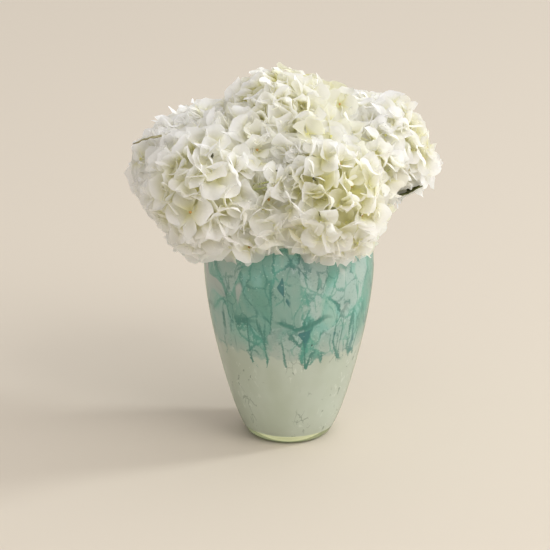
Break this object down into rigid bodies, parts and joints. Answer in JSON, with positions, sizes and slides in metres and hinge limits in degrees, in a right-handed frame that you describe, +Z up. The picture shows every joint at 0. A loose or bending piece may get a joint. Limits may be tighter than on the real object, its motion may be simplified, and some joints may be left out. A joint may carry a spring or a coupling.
{
  "type": "hydrangeas in a vase",
  "caption": "White mophead hydrangea heads on crossed cut stems with leaves, standing in a tapered round-shouldered marbled glass vase.",
  "frame": {"origin": "centre of the vase's underside, on the surface that it stands on", "axes": "+Z up along the vase's axis, +X to the right seen from the front, +Y from the front to the back"},
  "size_m": [0.3032, 0.2594, 0.3741],
  "materials": {
    "glass": "glossy, thick clear foot, frosted below and marbled turquoise above",
    "stem": "green woody cane, satin",
    "leaf": "dark green, half matt, with paler veins",
    "sepals": "thin soft white sepals, matt, greenish where they join"
  },
  "bodies": {
    "root": {"vase": "glass", "stem_front_left": "stem", "stem_front_right": "stem", "stem_top": "stem", "stem_right": "stem", "stem_back_left": "stem", "stem_back": "stem", "leaf_right": "leaf", "leaf_right_back": "leaf", "leaf_left": "leaf", "leaf_gap": "leaf", "leaf_top_back": "leaf", "leaf_back_right": "leaf", "leaf_back_left": "leaf", "leaf_left_back": "leaf", "head_front_left": "sepals", "head_front_right": "sepals", "head_top": "sepals", "head_right": "sepals", "head_back_left": "sepals", "head_back": "sepals"}
  },
  "joints": []
}
